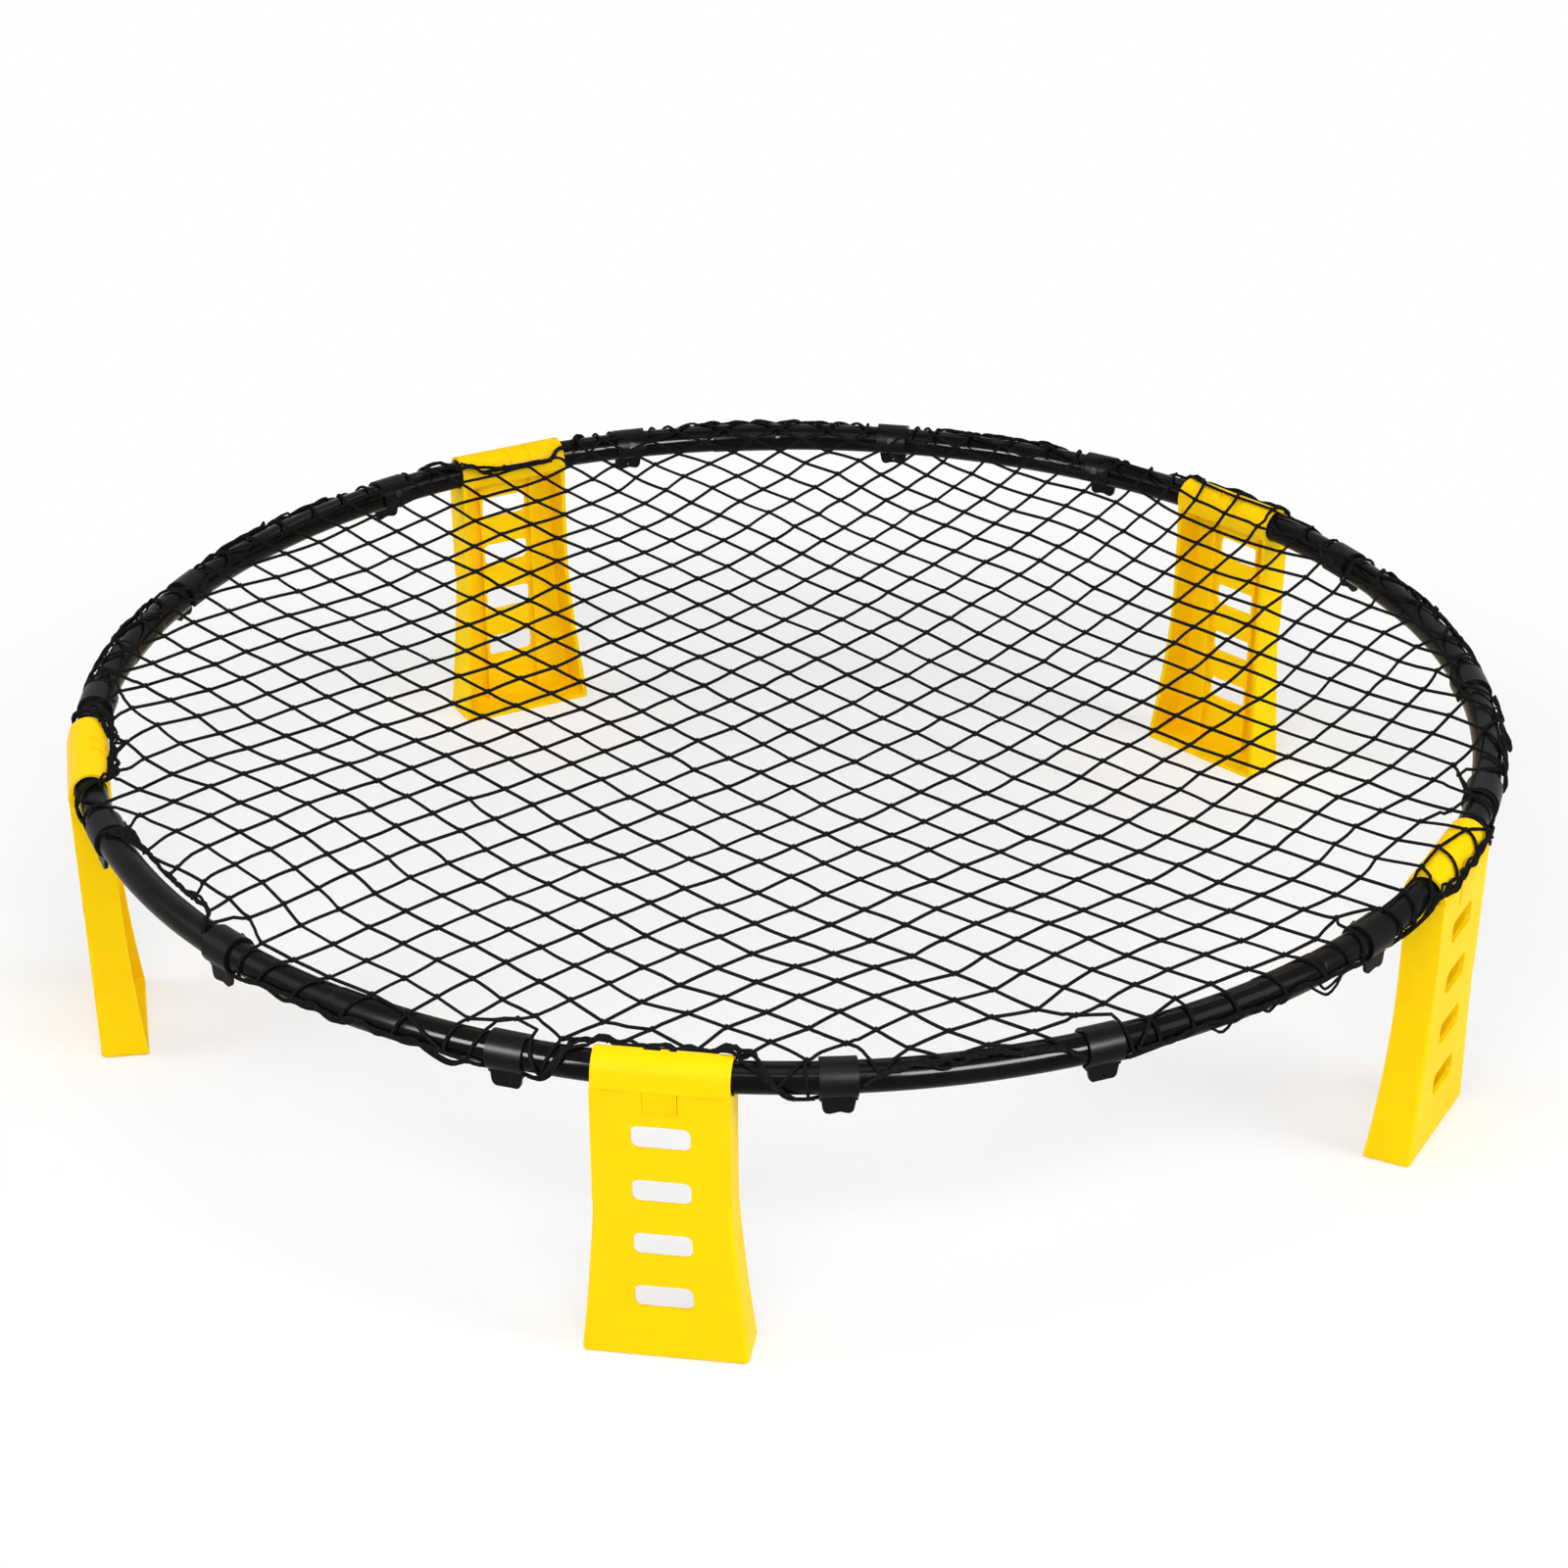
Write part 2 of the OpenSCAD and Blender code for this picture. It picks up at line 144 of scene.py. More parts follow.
def add_world():
    world = bpy.data.worlds.new("studio")
    world.use_nodes = True
    bpy.context.scene.world = world
    nodes, links = world.node_tree.nodes, world.node_tree.links
    nodes.clear()
    strength = nodes.new("ShaderNodeMapRange")
    strength.inputs["To Min"].default_value = 0.33
    strength.inputs["To Max"].default_value = 1.0
    background = nodes.new("ShaderNodeBackground")
    background.inputs["Color"].default_value = (1, 1, 1, 1)
    out = nodes.new("ShaderNodeOutputWorld")
    links.new(seen_directly(nodes, links), strength.inputs["Value"])
    links.new(strength.outputs["Result"], background.inputs["Strength"])
    links.new(background.outputs[0], out.inputs["Surface"])


def add_floor():
    form = bmesh.new()
    bmesh.ops.create_circle(form, cap_ends=True, radius=9, segments=96)
    floor = piece_from(form, "studio_floor")
    mat = bpy.data.materials.new("floor_paper")
    mat.use_nodes = True
    nodes, links = mat.node_tree.nodes, mat.node_tree.links
    nodes.clear()
    matte = nodes.new("ShaderNodeBsdfDiffuse")
    matte.inputs["Color"].default_value = (0.90, 0.90, 0.91, 1)
    glow = nodes.new("ShaderNodeEmission")
    glow.inputs["Color"].default_value = (1, 1, 1, 1)
    place = nodes.new("ShaderNodeTexCoord")
    far = nodes.new("ShaderNodeVectorMath")
    far.operation = "LENGTH"
    fade = nodes.new("ShaderNodeMapRange")
    fade.interpolation_type = "SMOOTHSTEP"
    fade.inputs["From Min"].default_value = 0.5
    fade.inputs["From Max"].default_value = 0.9
    fade.inputs["To Min"].default_value = 0.46
    fade.inputs["To Max"].default_value = 1.0
    share = nodes.new("ShaderNodeMath")
    share.operation = "MULTIPLY"
    mix = nodes.new("ShaderNodeMixShader")
    out = nodes.new("ShaderNodeOutputMaterial")
    links.new(place.outputs["Object"], far.inputs[0])
    links.new(far.outputs["Value"], fade.inputs["Value"])
    links.new(seen_directly(nodes, links), share.inputs[0])
    links.new(fade.outputs["Result"], share.inputs[1])
    links.new(share.outputs[0], mix.inputs[0])
    links.new(matte.outputs[0], mix.inputs[1])
    links.new(glow.outputs[0], mix.inputs[2])
    links.new(mix.outputs[0], out.inputs["Surface"])
    floor.data.materials.append(mat)


# ---------------------------------------------------------------- meshes

def piece_from(form, name, smooth=True):
    """A new object from a bmesh, at the origin with its place in its mesh."""
    bmesh.ops.recalc_face_normals(form, faces=form.faces)
    mesh = bpy.data.meshes.new(name)
    form.to_mesh(mesh)
    form.free()
    obj = bpy.data.objects.new(name, mesh)
    bpy.context.scene.collection.objects.link(obj)
    if smooth:
        mesh.polygons.foreach_set("use_smooth", [True] * len(mesh.polygons))
    return obj


def merged_copy(node):
    """The solid of a CAD node as a bmesh with clean flat faces."""
    form = bmesh.new()
    form.from_mesh(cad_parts[node].data)
    bmesh.ops.remove_doubles(form, verts=form.verts, dist=2e-6)
    bmesh.ops.dissolve_degenerate(form, dist=1e-6, edges=form.edges)
    bmesh.ops.dissolve_limit(form, angle_limit=math.radians(0.6), verts=form.verts, edges=form.edges)
    return form


def round_edges(form, picked, offset, segments, clamp=True):
    bmesh.ops.bevel(form, geom=picked, offset=offset, offset_type="OFFSET", affect="EDGES",
                    segments=segments, profile=0.5, material=-1, clamp_overlap=clamp)


def sharp(form, degrees=28):
    limit = math.radians(degrees)
    return [e for e in form.edges if len(e.link_faces) == 2 and e.calc_face_angle(0) > limit]


def shade_by_angle(obj, degrees=35):
    """Smooth faces with hard edges where they meet at a steep angle."""
    mesh = obj.data
    form = bmesh.new()
    form.from_mesh(mesh)
    for edge in form.edges:
        edge.smooth = not (len(edge.link_faces) == 2 and edge.calc_face_angle(0) > math.radians(degrees))
    form.to_mesh(mesh)
    form.free()
    even = obj.modifiers.new("even_shading", "WEIGHTED_NORMAL")
    even.keep_sharp = True


def to_local(deg, radius):
    """Turns the frame so that X points away from the centre at one angle of the rim."""
    return Matrix.Translation((-radius, 0, 0)) @ Matrix.Rotation(math.radians(-deg), 4, "Z")


# ---------------------------------------------------------------- materials

def group_socket(tree, name, kind, side, value=None):
    socket = tree.interface.new_socket(name=name, in_out=side, socket_type=kind)
    if value is not None:
        socket.default_value = value


def grain_group():
    """Fine moulded grain over broad, faint unevenness."""
    tree = bpy.data.node_groups.new("surface_grain", "ShaderNodeTree")
    group_socket(tree, "Scale", "NodeSocketFloat", "INPUT", 900.0)
    group_socket(tree, "Broad Scale", "NodeSocketFloat", "INPUT", 30.0)
    group_socket(tree, "Height", "NodeSocketFloat", "OUTPUT")
    group_socket(tree, "Patches", "NodeSocketFloat", "OUTPUT")
    nodes, links = tree.nodes, tree.links
    given, put = nodes.new("NodeGroupInput"), nodes.new("NodeGroupOutput")
    place = nodes.new("ShaderNodeTexCoord")
    fine, broad = nodes.new("ShaderNodeTexNoise"), nodes.new("ShaderNodeTexNoise")
    fine.inputs["Detail"].default_value = 3
    broad.inputs["Detail"].default_value = 4
    links.new(place.outputs["Object"], fine.inputs["Vector"])
    links.new(place.outputs["Object"], broad.inputs["Vector"])
    links.new(given.outputs["Scale"], fine.inputs["Scale"])
    links.new(given.outputs["Broad Scale"], broad.inputs["Scale"])
    links.new(fine.outputs["Fac"], put.inputs["Height"])
    links.new(broad.outputs["Fac"], put.inputs["Patches"])
    return tree


def scuff_group():
    """Thin handling scratches, as a mask from 0 to 1."""
    tree = bpy.data.node_groups.new("handling_scuffs", "ShaderNodeTree")
    group_socket(tree, "Scale", "NodeSocketFloat", "INPUT", 60.0)
    group_socket(tree, "Amount", "NodeSocketFloat", "INPUT", 0.3)
    group_socket(tree, "Mask", "NodeSocketFloat", "OUTPUT")
    nodes, links = tree.nodes, tree.links
    given, put = nodes.new("NodeGroupInput"), nodes.new("NodeGroupOutput")
    place, turn = nodes.new("ShaderNodeTexCoord"), nodes.new("ShaderNodeMapping")
    turn.inputs["Rotation"].default_value = (0.4, 0.9, 0.3)
    turn.inputs["Scale"].default_value = (1.0, 14.0, 3.0)
    lines, gate = nodes.new("ShaderNodeTexNoise"), nodes.new("ShaderNodeTexNoise")
    lines.inputs["Detail"].default_value = 2
    gate.inputs["Scale"].default_value = 25
    thin, where = nodes.new("ShaderNodeMapRange"), nodes.new("ShaderNodeMapRange")
    thin.inputs["From Min"].default_value, thin.inputs["From Max"].default_value = 0.68, 0.74
    where.inputs["From Min"].default_value, where.inputs["From Max"].default_value = 0.5, 0.62
    both, much = nodes.new("ShaderNodeMath"), nodes.new("ShaderNodeMath")
    both.operation = much.operation = "MULTIPLY"
    links.new(place.outputs["Object"], turn.inputs["Vector"])
    links.new(turn.outputs["Vector"], lines.inputs["Vector"])
    links.new(place.outputs["Object"], gate.inputs["Vector"])
    links.new(given.outputs["Scale"], lines.inputs["Scale"])
    links.new(lines.outputs["Fac"], thin.inputs["Value"])
    links.new(gate.outputs["Fac"], where.inputs["Value"])
    links.new(thin.outputs["Result"], both.inputs[0])
    links.new(where.outputs["Result"], both.inputs[1])
    links.new(both.outputs[0], much.inputs[0])
    links.new(given.outputs["Amount"], much.inputs[1])
    links.new(much.outputs[0], put.inputs["Mask"])
    return tree


def twist_group():
    """Plies that wind round a cord, from its own UV map: U in turns along it and V round it."""
    tree = bpy.data.node_groups.new("twisted_plies", "ShaderNodeTree")
    group_socket(tree, "Plies", "NodeSocketFloat", "INPUT", 3.0)
    group_socket(tree, "Height", "NodeSocketFloat", "OUTPUT")
    group_socket(tree, "Fibres", "NodeSocketFloat", "OUTPUT")
    nodes, links = tree.nodes, tree.links
    given, put = nodes.new("NodeGroupInput"), nodes.new("NodeGroupOutput")
    uv, parts = nodes.new("ShaderNodeUVMap"), nodes.new("ShaderNodeSeparateXYZ")
    uv.uv_map = "UVMap"
    slant, turns, wave = nodes.new("ShaderNodeMath"), nodes.new("ShaderNodeMath"), nodes.new("ShaderNodeMath")
    around = nodes.new("ShaderNodeMath")
    around.operation = turns.operation = "MULTIPLY"
    slant.operation, wave.operation = "ADD", "SINE"
    turns.inputs[1].default_value = 2 * math.pi
    fibre, place = nodes.new("ShaderNodeTexNoise"), nodes.new("ShaderNodeTexCoord")
    fibre.inputs["Scale"].default_value = 2600
    fibre.inputs["Detail"].default_value = 2
    links.new(uv.outputs["UV"], parts.inputs[0])
    links.new(parts.outputs["Y"], around.inputs[0])
    links.new(given.outputs["Plies"], around.inputs[1])
    links.new(parts.outputs["X"], slant.inputs[0])
    links.new(around.outputs[0], slant.inputs[1])
    links.new(slant.outputs[0], turns.inputs[0])
    links.new(turns.outputs[0], wave.inputs[0])
    links.new(wave.outputs[0], put.inputs["Height"])
    links.new(place.outputs["Object"], fibre.inputs["Vector"])
    links.new(fibre.outputs["Fac"], put.inputs["Fibres"])
    return tree


def bump_from(nodes, links, height, strength, distance, below=None):
    bump = nodes.new("ShaderNodeBump")
    bump.inputs["Strength"].default_value = strength
    bump.inputs["Distance"].default_value = distance
    links.new(height, bump.inputs["Height"])
    if below:
        links.new(below, bump.inputs["Normal"])
    return bump.outputs["Normal"]


def between(nodes, links, value, low, high, start=0.3, stop=0.7):
    spread = nodes.new("ShaderNodeMapRange")
    spread.inputs["From Min"].default_value, spread.inputs["From Max"].default_value = start, stop
    spread.inputs["To Min"].default_value, spread.inputs["To Max"].default_value = low, high
    links.new(value, spread.inputs["Value"])
    return spread.outputs["Result"]


def two_tone(nodes, links, value, first, second):
    mix = nodes.new("ShaderNodeMix")
    mix.data_type = "RGBA"
    mix.inputs[6].default_value, mix.inputs[7].default_value = (*first, 1), (*second, 1)
    links.new(value, mix.inputs[0])
    return mix.outputs[2]


def placed_group(nodes, tree, **values):
    node = nodes.new("ShaderNodeGroup")
    node.node_tree = tree
    for name, value in values.items():
        node.inputs[name.replace("_", " ")].default_value = value
    return node


def hard_surface(name, base, deep, rough, grain, scuffs, specular=0.5, depth=0.00004, metal=0.0, glow=0.0):
    """Moulded plastic or painted metal: two close tones, grain, scuffs and an uneven gloss."""
    mat = bpy.data.materials.new(name)
    mat.use_nodes = True
    nodes, links = mat.node_tree.nodes, mat.node_tree.links
    shader = nodes["Principled BSDF"]
    shader.inputs["Specular IOR Level"].default_value = specular
    shader.inputs["Metallic"].default_value = metal
    if glow:
        shader.inputs["Subsurface Weight"].default_value = glow
        shader.inputs["Subsurface Radius"].default_value = (1.0, 0.6, 0.1)
        shader.inputs["Subsurface Scale"].default_value = 0.004
    skin = placed_group(nodes, GRAIN, Scale=grain, Broad_Scale=22.0)
    wear = placed_group(nodes, SCUFFS, Scale=60.0, Amount=scuffs)
    patches = between(nodes, links, skin.outputs["Patches"], 0.0, 1.0)
    links.new(two_tone(nodes, links, patches, base, deep), shader.inputs["Base Color"])
    even = between(nodes, links, skin.outputs["Patches"], rough - 0.04, rough + 0.05)
    worn = nodes.new("ShaderNodeMath")
    worn.operation = "ADD"
    links.new(even, worn.inputs[0])
    links.new(wear.outputs["Mask"], worn.inputs[1])
    links.new(worn.outputs[0], shader.inputs["Roughness"])
    grainy = bump_from(nodes, links, skin.outputs["Height"], 0.35, depth)
    links.new(bump_from(nodes, links, wear.outputs["Mask"], 0.2, depth, grainy), shader.inputs["Normal"])
    return mat


def twine_surface(name, base, deep, depth):
    mat = bpy.data.materials.new(name)
    mat.use_nodes = True
    nodes, links = mat.node_tree.nodes, mat.node_tree.links
    shader = nodes["Principled BSDF"]
    shader.inputs["Specular IOR Level"].default_value = 0.03
    plies = placed_group(nodes, TWIST, Plies=3.0)
    # Painted shade: the colour is darker in the grooves between the plies and lighter on their crests,
    # following the same height as the bump
    links.new(two_tone(nodes, links, between(nodes, links, plies.outputs["Height"], 0.0, 1.0, -1.0, 1.0),
                       deep, base), shader.inputs["Base Color"])
    links.new(between(nodes, links, plies.outputs["Fibres"], 0.62, 0.8), shader.inputs["Roughness"])
    wound = bump_from(nodes, links, plies.outputs["Height"], 0.8, depth)
    fuzzy = bump_from(nodes, links, plies.outputs["Fibres"], 0.4, depth * 0.4, wound)
    links.new(fuzzy, shader.inputs["Normal"])
    return mat


GRAIN, SCUFFS, TWIST = grain_group(), scuff_group(), twist_group()
YELLOW = hard_surface("moulded_yellow", (1.0, 0.665, 0.002), (0.98, 0.63, 0.001),
                      0.42, 1500.0, 0.12, specular=0.03, glow=0.12)
# The cap's yellow is a darker copy of the leg's, so that its top, which takes more light, renders less
# bright: painted shade
CAP_YELLOW_PAINTED_SHADE = hard_surface("moulded_yellow_cap", (1.0, 0.62, 0.002), (0.99, 0.59, 0.002),
                          0.36, 1500.0, 0.1, specular=0.02, glow=0.12)
GLOSS_BLACK = hard_surface("gloss_black_paint", (0.0025, 0.0025, 0.003), (0.004, 0.004, 0.0045),
                           0.13, 700.0, 0.06, specular=0.05, depth=0.00001)
SATIN_BLACK = hard_surface("satin_black_paint", (0.003, 0.003, 0.0035), (0.005, 0.005, 0.0055),
                           0.26, 900.0, 0.1, specular=0.05, depth=0.00002)
HOOK_BLACK = hard_surface("hook_black_plastic", (0.004, 0.004, 0.0045), (0.007, 0.007, 0.0075),
                          0.34, 1400.0, 0.1, specular=0.05, depth=0.00003)
RIVET_METAL = hard_surface("rivet_blackened_metal", (0.012, 0.012, 0.013), (0.008, 0.008, 0.009),
                           0.45, 1200.0, 0.1, metal=1.0)
# The darker second tone of the twine and the cord is painted shade in the grooves of the twist
TWINE = twine_surface("net_twine", (0.0045, 0.0045, 0.005), (0.0015, 0.0015, 0.002), 0.0004)
CORD = twine_surface("edge_cord", (0.005, 0.005, 0.0055), (0.002, 0.002, 0.0025), 0.0006)


def dress(obj, mat, body, slot, *nodes_shown):
    """Gives a new piece its material, its body and the nodes that it stands for. The slot is not used."""
    obj.data.materials.clear()
    obj.data.materials.append(mat)
    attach(obj, body)
    if nodes_shown:
        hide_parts(*nodes_shown)


# ---------------------------------------------------------------- legs and caps

def by_lip(edge):
    """Edges of the seam between a cap's outer lip and the leg's face."""
    return all(abs(v.co.z - LIP_H) < 0.0012 and v.co.x > PLATE_FACE - 0.002 for v in edge.verts)


def leg_piece(i):
    """A moulded leg with generously rounded outer corners and softened edges everywhere else."""
    node = "leg_%d" % (i + 1)
    form = merged_copy(node)
    inward = to_local(LEG_DEG[i], HINGE_R)
    bmesh.ops.transform(form, matrix=inward, verts=form.verts)
    lean = (PLATE_FACE - FOOT_FACE) / LIP_H

    def outer_corner(edge):
        for place in (v.co for v in edge.verts):
            beside = (place.x > FOOT_FACE + lean * place.z - TOUCH and abs(place.y) > LEG_SIDE
                      and place.z < LIP_H - 0.0005)
            below = place.x > FOOT_FACE - TOUCH and place.z < SOLE_TOP
            if not (beside or below):
                return False
        return True

    round_edges(form, [e for e in sharp(form) if outer_corner(e)], CORNER_ROUND, 5)
    round_edges(form, [e for e in sharp(form, 40) if by_lip(e)], SEAM_ROUND, 2)
    round_edges(form, sharp(form, 40), LEG_EDGE_ROUND, 2)
    bmesh.ops.transform(form, matrix=inward.inverted(), verts=form.verts)
    obj = piece_from(form, "leg_%d_moulding" % (i + 1))
    shade_by_angle(obj)
    dress(obj, YELLOW, node, "leg", node)


def cap_piece(i):
    """A cap over the tube, with rounder ends than edges."""
    node = "leg_cap_%d" % (i + 1)
    form = merged_copy(node)
    inward = to_local(LEG_DEG[i], HINGE_R)
    bmesh.ops.transform(form, matrix=inward, verts=form.verts)

    def at_end(edge):
        return all(abs(v.co.y) > LEG_SIDE and math.hypot(v.co.x, v.co.z - AXIS_H) > SHELL_R - TOUCH
                   for v in edge.verts)

    round_edges(form, [e for e in sharp(form) if by_lip(e)], SEAM_ROUND, 2)
    round_edges(form, [e for e in sharp(form) if at_end(e)], CAP_END_ROUND, 4)
    round_edges(form, sharp(form), CAP_EDGE_ROUND, 3)
    bmesh.ops.transform(form, matrix=inward.inverted(), verts=form.verts)
    obj = piece_from(form, "leg_cap_%d_moulding" % (i + 1))
    shade_by_angle(obj)
    dress(obj, CAP_YELLOW_PAINTED_SHADE, "leg_%d" % (i + 1), "leg_cap", node)


def hook_piece(i):
    """A saddle round the tube, with a tongue that widens to a rounded tip."""
    node = "net_hook_%d" % (i + 1)
    form = merged_copy(node)
    inward = to_local(HOOK_DEG[i], RIM_R)
    bmesh.ops.transform(form, matrix=inward, verts=form.verts)
    for vert in form.verts:
        down = (AXIS_H - SADDLE_R - vert.co.z) / (TONGUE_DROP - SADDLE_R)
        if down > 0 and abs(vert.co.y) > 0.004:
            vert.co.y *= 1 + BROADER * down
        elif down > 0:
            vert.co.y *= HOLE_SHARE
            vert.co.z = AXIS_H - HOLE_DROP + HOLE_SHARE * (vert.co.z - AXIS_H + HOLE_DROP)
    tip = [e for e in sharp(form)
           if all(v.co.z < AXIS_H - TIP_DROP and abs(v.co.y) > 0.006 for v in e.verts)]
    round_edges(form, tip, TIP_ROUND, 5)
    round_edges(form, sharp(form), HOOK_EDGE_ROUND, 2)
    bmesh.ops.transform(form, matrix=inward.inverted(), verts=form.verts)
    obj = piece_from(form, "net_hook_%d_moulding" % (i + 1))
    shade_by_angle(obj)
    dress(obj, HOOK_BLACK, "rim", "net_hook", node)


# ---------------------------------------------------------------- the rim's tubes

def swept_tube(stations, sides=56):
    """A round tube bent along the rim, through stations of (degrees, radius)."""
    form = bmesh.new()
    first, radius = stations[0]
    bmesh.ops.create_circle(form, radius=radius, segments=sides,
                            matrix=Matrix.Rotation(math.radians(first), 4, "Z")
                            @ Matrix.Translation((RIM_R, 0, AXIS_H)) @ Matrix.Rotation(math.pi / 2, 4, "X"))
    ring = list(form.edges)
    for (before, old), (after, new) in zip(stations, stations[1:]):
        grown = bmesh.ops.extrude_edge_only(form, edges=ring)["geom"]
        ring = [e for e in grown if isinstance(e, bmesh.types.BMEdge)]
        ring_verts = [v for v in grown if isinstance(v, bmesh.types.BMVert)]
        bmesh.ops.rotate(form, verts=ring_verts, cent=(0, 0, 0),
                         matrix=Matrix.Rotation(math.radians(after - before), 3, "Z"))
        deg = math.radians(after)
        middle = Matrix.Translation((RIM_R * math.cos(deg), RIM_R * math.sin(deg), AXIS_H))
        bmesh.ops.scale(form, verts=ring_verts, vec=(new / old,) * 3, space=middle.inverted())
    return form


def tube_stations(start, end):
    """Radius along one section: a plain end, an even run and a swelled socket with a rounded mouth."""
    mm = math.degrees(0.001 / RIM_R)
    swell = end - math.degrees(SOCKET_LEN / RIM_R)
    run = [(start, TUBE_R - TUBE_WALL), (start, TUBE_R - 0.0004), (start + 0.4 * mm, TUBE_R)]
    steps = 96
    run += [(start + 0.5 * mm + (swell - start - 2 * mm) * n / steps, TUBE_R) for n in range(1, steps + 1)]
    run += [(swell + 1.5 * mm * n, TUBE_R + (SOCKET_R - TUBE_R) * n / 2) for n in (0, 1, 2)]
    run += [(swell + 3 * mm + (end - swell - 4 * mm) * n / 12, SOCKET_R) for n in range(1, 13)]
    run += [(end - 0.5 * mm, SOCKET_R - 0.00005), (end - 0.2 * mm, SOCKET_R - 0.0003),
            (end - 0.2 * mm, SOCKET_R - 0.0011), (end - 3 * mm, SOCKET_R - TUBE_WALL)]
    return run


def tube_piece(i):
    """One section of the rim; some sections are glossier than others."""
    node = "rim_tube_%d" % (i + 1)
    start = LEG_DEG[i] - JOINT_LEAD
    form = swept_tube(tube_stations(start, start + STEP))
    obj = piece_from(form, "rim_section_%d" % (i + 1))
    shade_by_angle(obj, 50)
    dress(obj, GLOSS_BLACK if i in (0, 2, 3) else SATIN_BLACK, "rim", "rim_tube", node)


# ---------------------------------------------------------------- the net

TWINE_R = 0.0011                 # radius of the net's twine
NET_LIFT = 0.0113                # height of the taut net above the axis of the tube
SAG = 0.0030                     # how much lower the net is in the middle
MESH_SIDE = (0.0265, 0.0283)     # length of the strands between knots, in the two families
KNOT_AT = (0.0338, -0.1944)      # one knot of the net, from which the meshes are counted
# The strands bend but do not stretch. Each family has a straight way, in degrees, and turns from it
# by so many degrees a mesh before one mesh and after another, counted from that knot
FIRST_WAY = dict(straight=45, before=-4, turn_before=1.5, after=-4, turn_after=1.1)
SECOND_WAY = dict(straight=141.5, before=3, turn_before=0.9, after=12, turn_after=-0.2)
LAST_TURN = 12                   # they turn up to this many meshes before the knot, and twice as many after
MESHES = 30                      # meshes counted each way from the knot
BORDER_R, SELVEDGE_R = 0.00125, 0.0010     # radii of the border cord and of the twines along it
BEHIND_TONGUE = math.radians(168)          # round the tube from its crown: where the hooks hold the cord
EVEN_R = 0.446                   # knots further out than this are on the net's border
GATHER = 0.6                     # how strongly the border bunches up at the hooks
PRETENSION = 0.985               # length of a slack strand against its length in the net
SETTLING = 500                   # rounds in which the knots settle between the border's
HOOK_SIDE = 0.0135               # the border passes this far beside a hook's middle
PAST_HOOK = 0.0131               # and the strands this far
CLEAR_OF_HOOK = RIM_R - 0.016    # knots in front of a hook are no further out
TUCK = math.radians(150)         # round the tube from its crown: beside a hook
DRAPE = math.radians(58)         # and halfway between two hooks
DRAPE_AFTER = {232: 92, 282: 30, 302: 86}    # other drapes, in degrees, after the hooks at these angles
# Where the border crosses each leg: over the cap if above zero, down its inner side if below
CAP_DRAPE = [math.radians(a) for a in (-66, 76, 62, -72, -66)]
FLANGE_DRAPE = math.radians(-47)     # higher at the cap's ends, for the flanges of a folded leg
FLANGE_ROOM = 0.0009             # and this much further out from the tube
INNER_GAP, INNER_DRAPE = 210.5, math.radians(-64)     # after this hook the border stays inside the tube
# Slack loops of the selvedge: where they are, in degrees, and how far they hang out
LOOSE = ((254.3, 0.009), (261.5, 0.005), (321.8, 0.010), (39.1, 0.010), (213.5, 0.008), (151, 0.009))
CAP_HALF = 0.044                 # half a cap's length along the rim, with some room
# Places along the rim between which the net settles on what it lies on, from the middle of a cap or hook
CAP_FADE, FLANGE_RISE, FLANGE_FADE = (0.0425, 0.0460), (0.0300, 0.0355), (0.0430, 0.0465)
SADDLE_FADE, CALM_FADE = (0.0112, 0.0132), (0.030, 0.046)
SADDLE_RISE = 0.0016             # how much further from the tube's axis the net is on a hook
INSET = 0.0016                   # a border inside a cap lies further in than round the tube by this
WRAP_R = 0.0112                  # radius of the net's bend over the tube, for lengths along the net


def smooth_step(value, low, high):
    t = np.clip((value - low) / (high - low), 0, 1)
    return t * t * (3 - 2 * t)


def wrap_deg(angle):
    return (angle + 180) % 360 - 180


def distance_along(deg, other):
    """Length along the rim between two angles."""
    return abs(math.radians(wrap_deg(deg - other)) * RIM_R)


HOOKS = sorted(a % 360 for a in HOOK_DEG)
GAPS = [(a, (HOOKS + [HOOKS[0] + 360])[k + 1]) for k, a in enumerate(HOOKS)]


def leg_in(low, high):
    """The leg that stands between two hooks, if there is one."""
    for i, deg in enumerate(LEG_DEG):
        middle = low + (deg - low) % 360
        if middle < high:
            return i, middle
    return None, None


def gap_at(deg):
    for low, high in GAPS:
        place = low + (deg - low) % 360
        if place <= high:
            return low, high, place


def gathered(deg):
    """Where a border knot moves to along the rim, as the net bunches up at the hooks."""
    low, high, place = gap_at(deg)
    length = math.radians(high - low) * RIM_R
    side = HOOK_SIDE / length
    t = (place - low) / (high - low)
    t -= GATHER * math.sin(2 * math.pi * t) / (2 * math.pi)
    return low + (high - low) * (side + (1 - 2 * side) * t)


def drape_at(deg):
    """How far round the tube from its crown the net's border lies, in radians."""
    low, high, place = gap_at(deg)
    i, middle = leg_in(low, high)
    if i is None:
        t = abs(2 * (place - low) / (high - low) - 1)
        middle = math.radians(DRAPE_AFTER[int(low)]) if int(low) in DRAPE_AFTER else DRAPE
        middle = INNER_DRAPE if abs(low - INNER_GAP) < 0.1 else middle
        return middle + (TUCK - middle) * t ** 4
    off = math.radians(abs(place - middle)) * RIM_R
    room = math.radians(min(middle - low, high - middle)) * RIM_R - HOOK_SIDE
    t = float(smooth_step(off, CAP_HALF - 0.003, max(room, CAP_HALF + 0.020)))
    drape = CAP_DRAPE[i]
    if drape < 0:
        drape += (FLANGE_DRAPE - drape) * float(smooth_step(off, 0.028, 0.0355))
    return drape + (TUCK - drape) * t


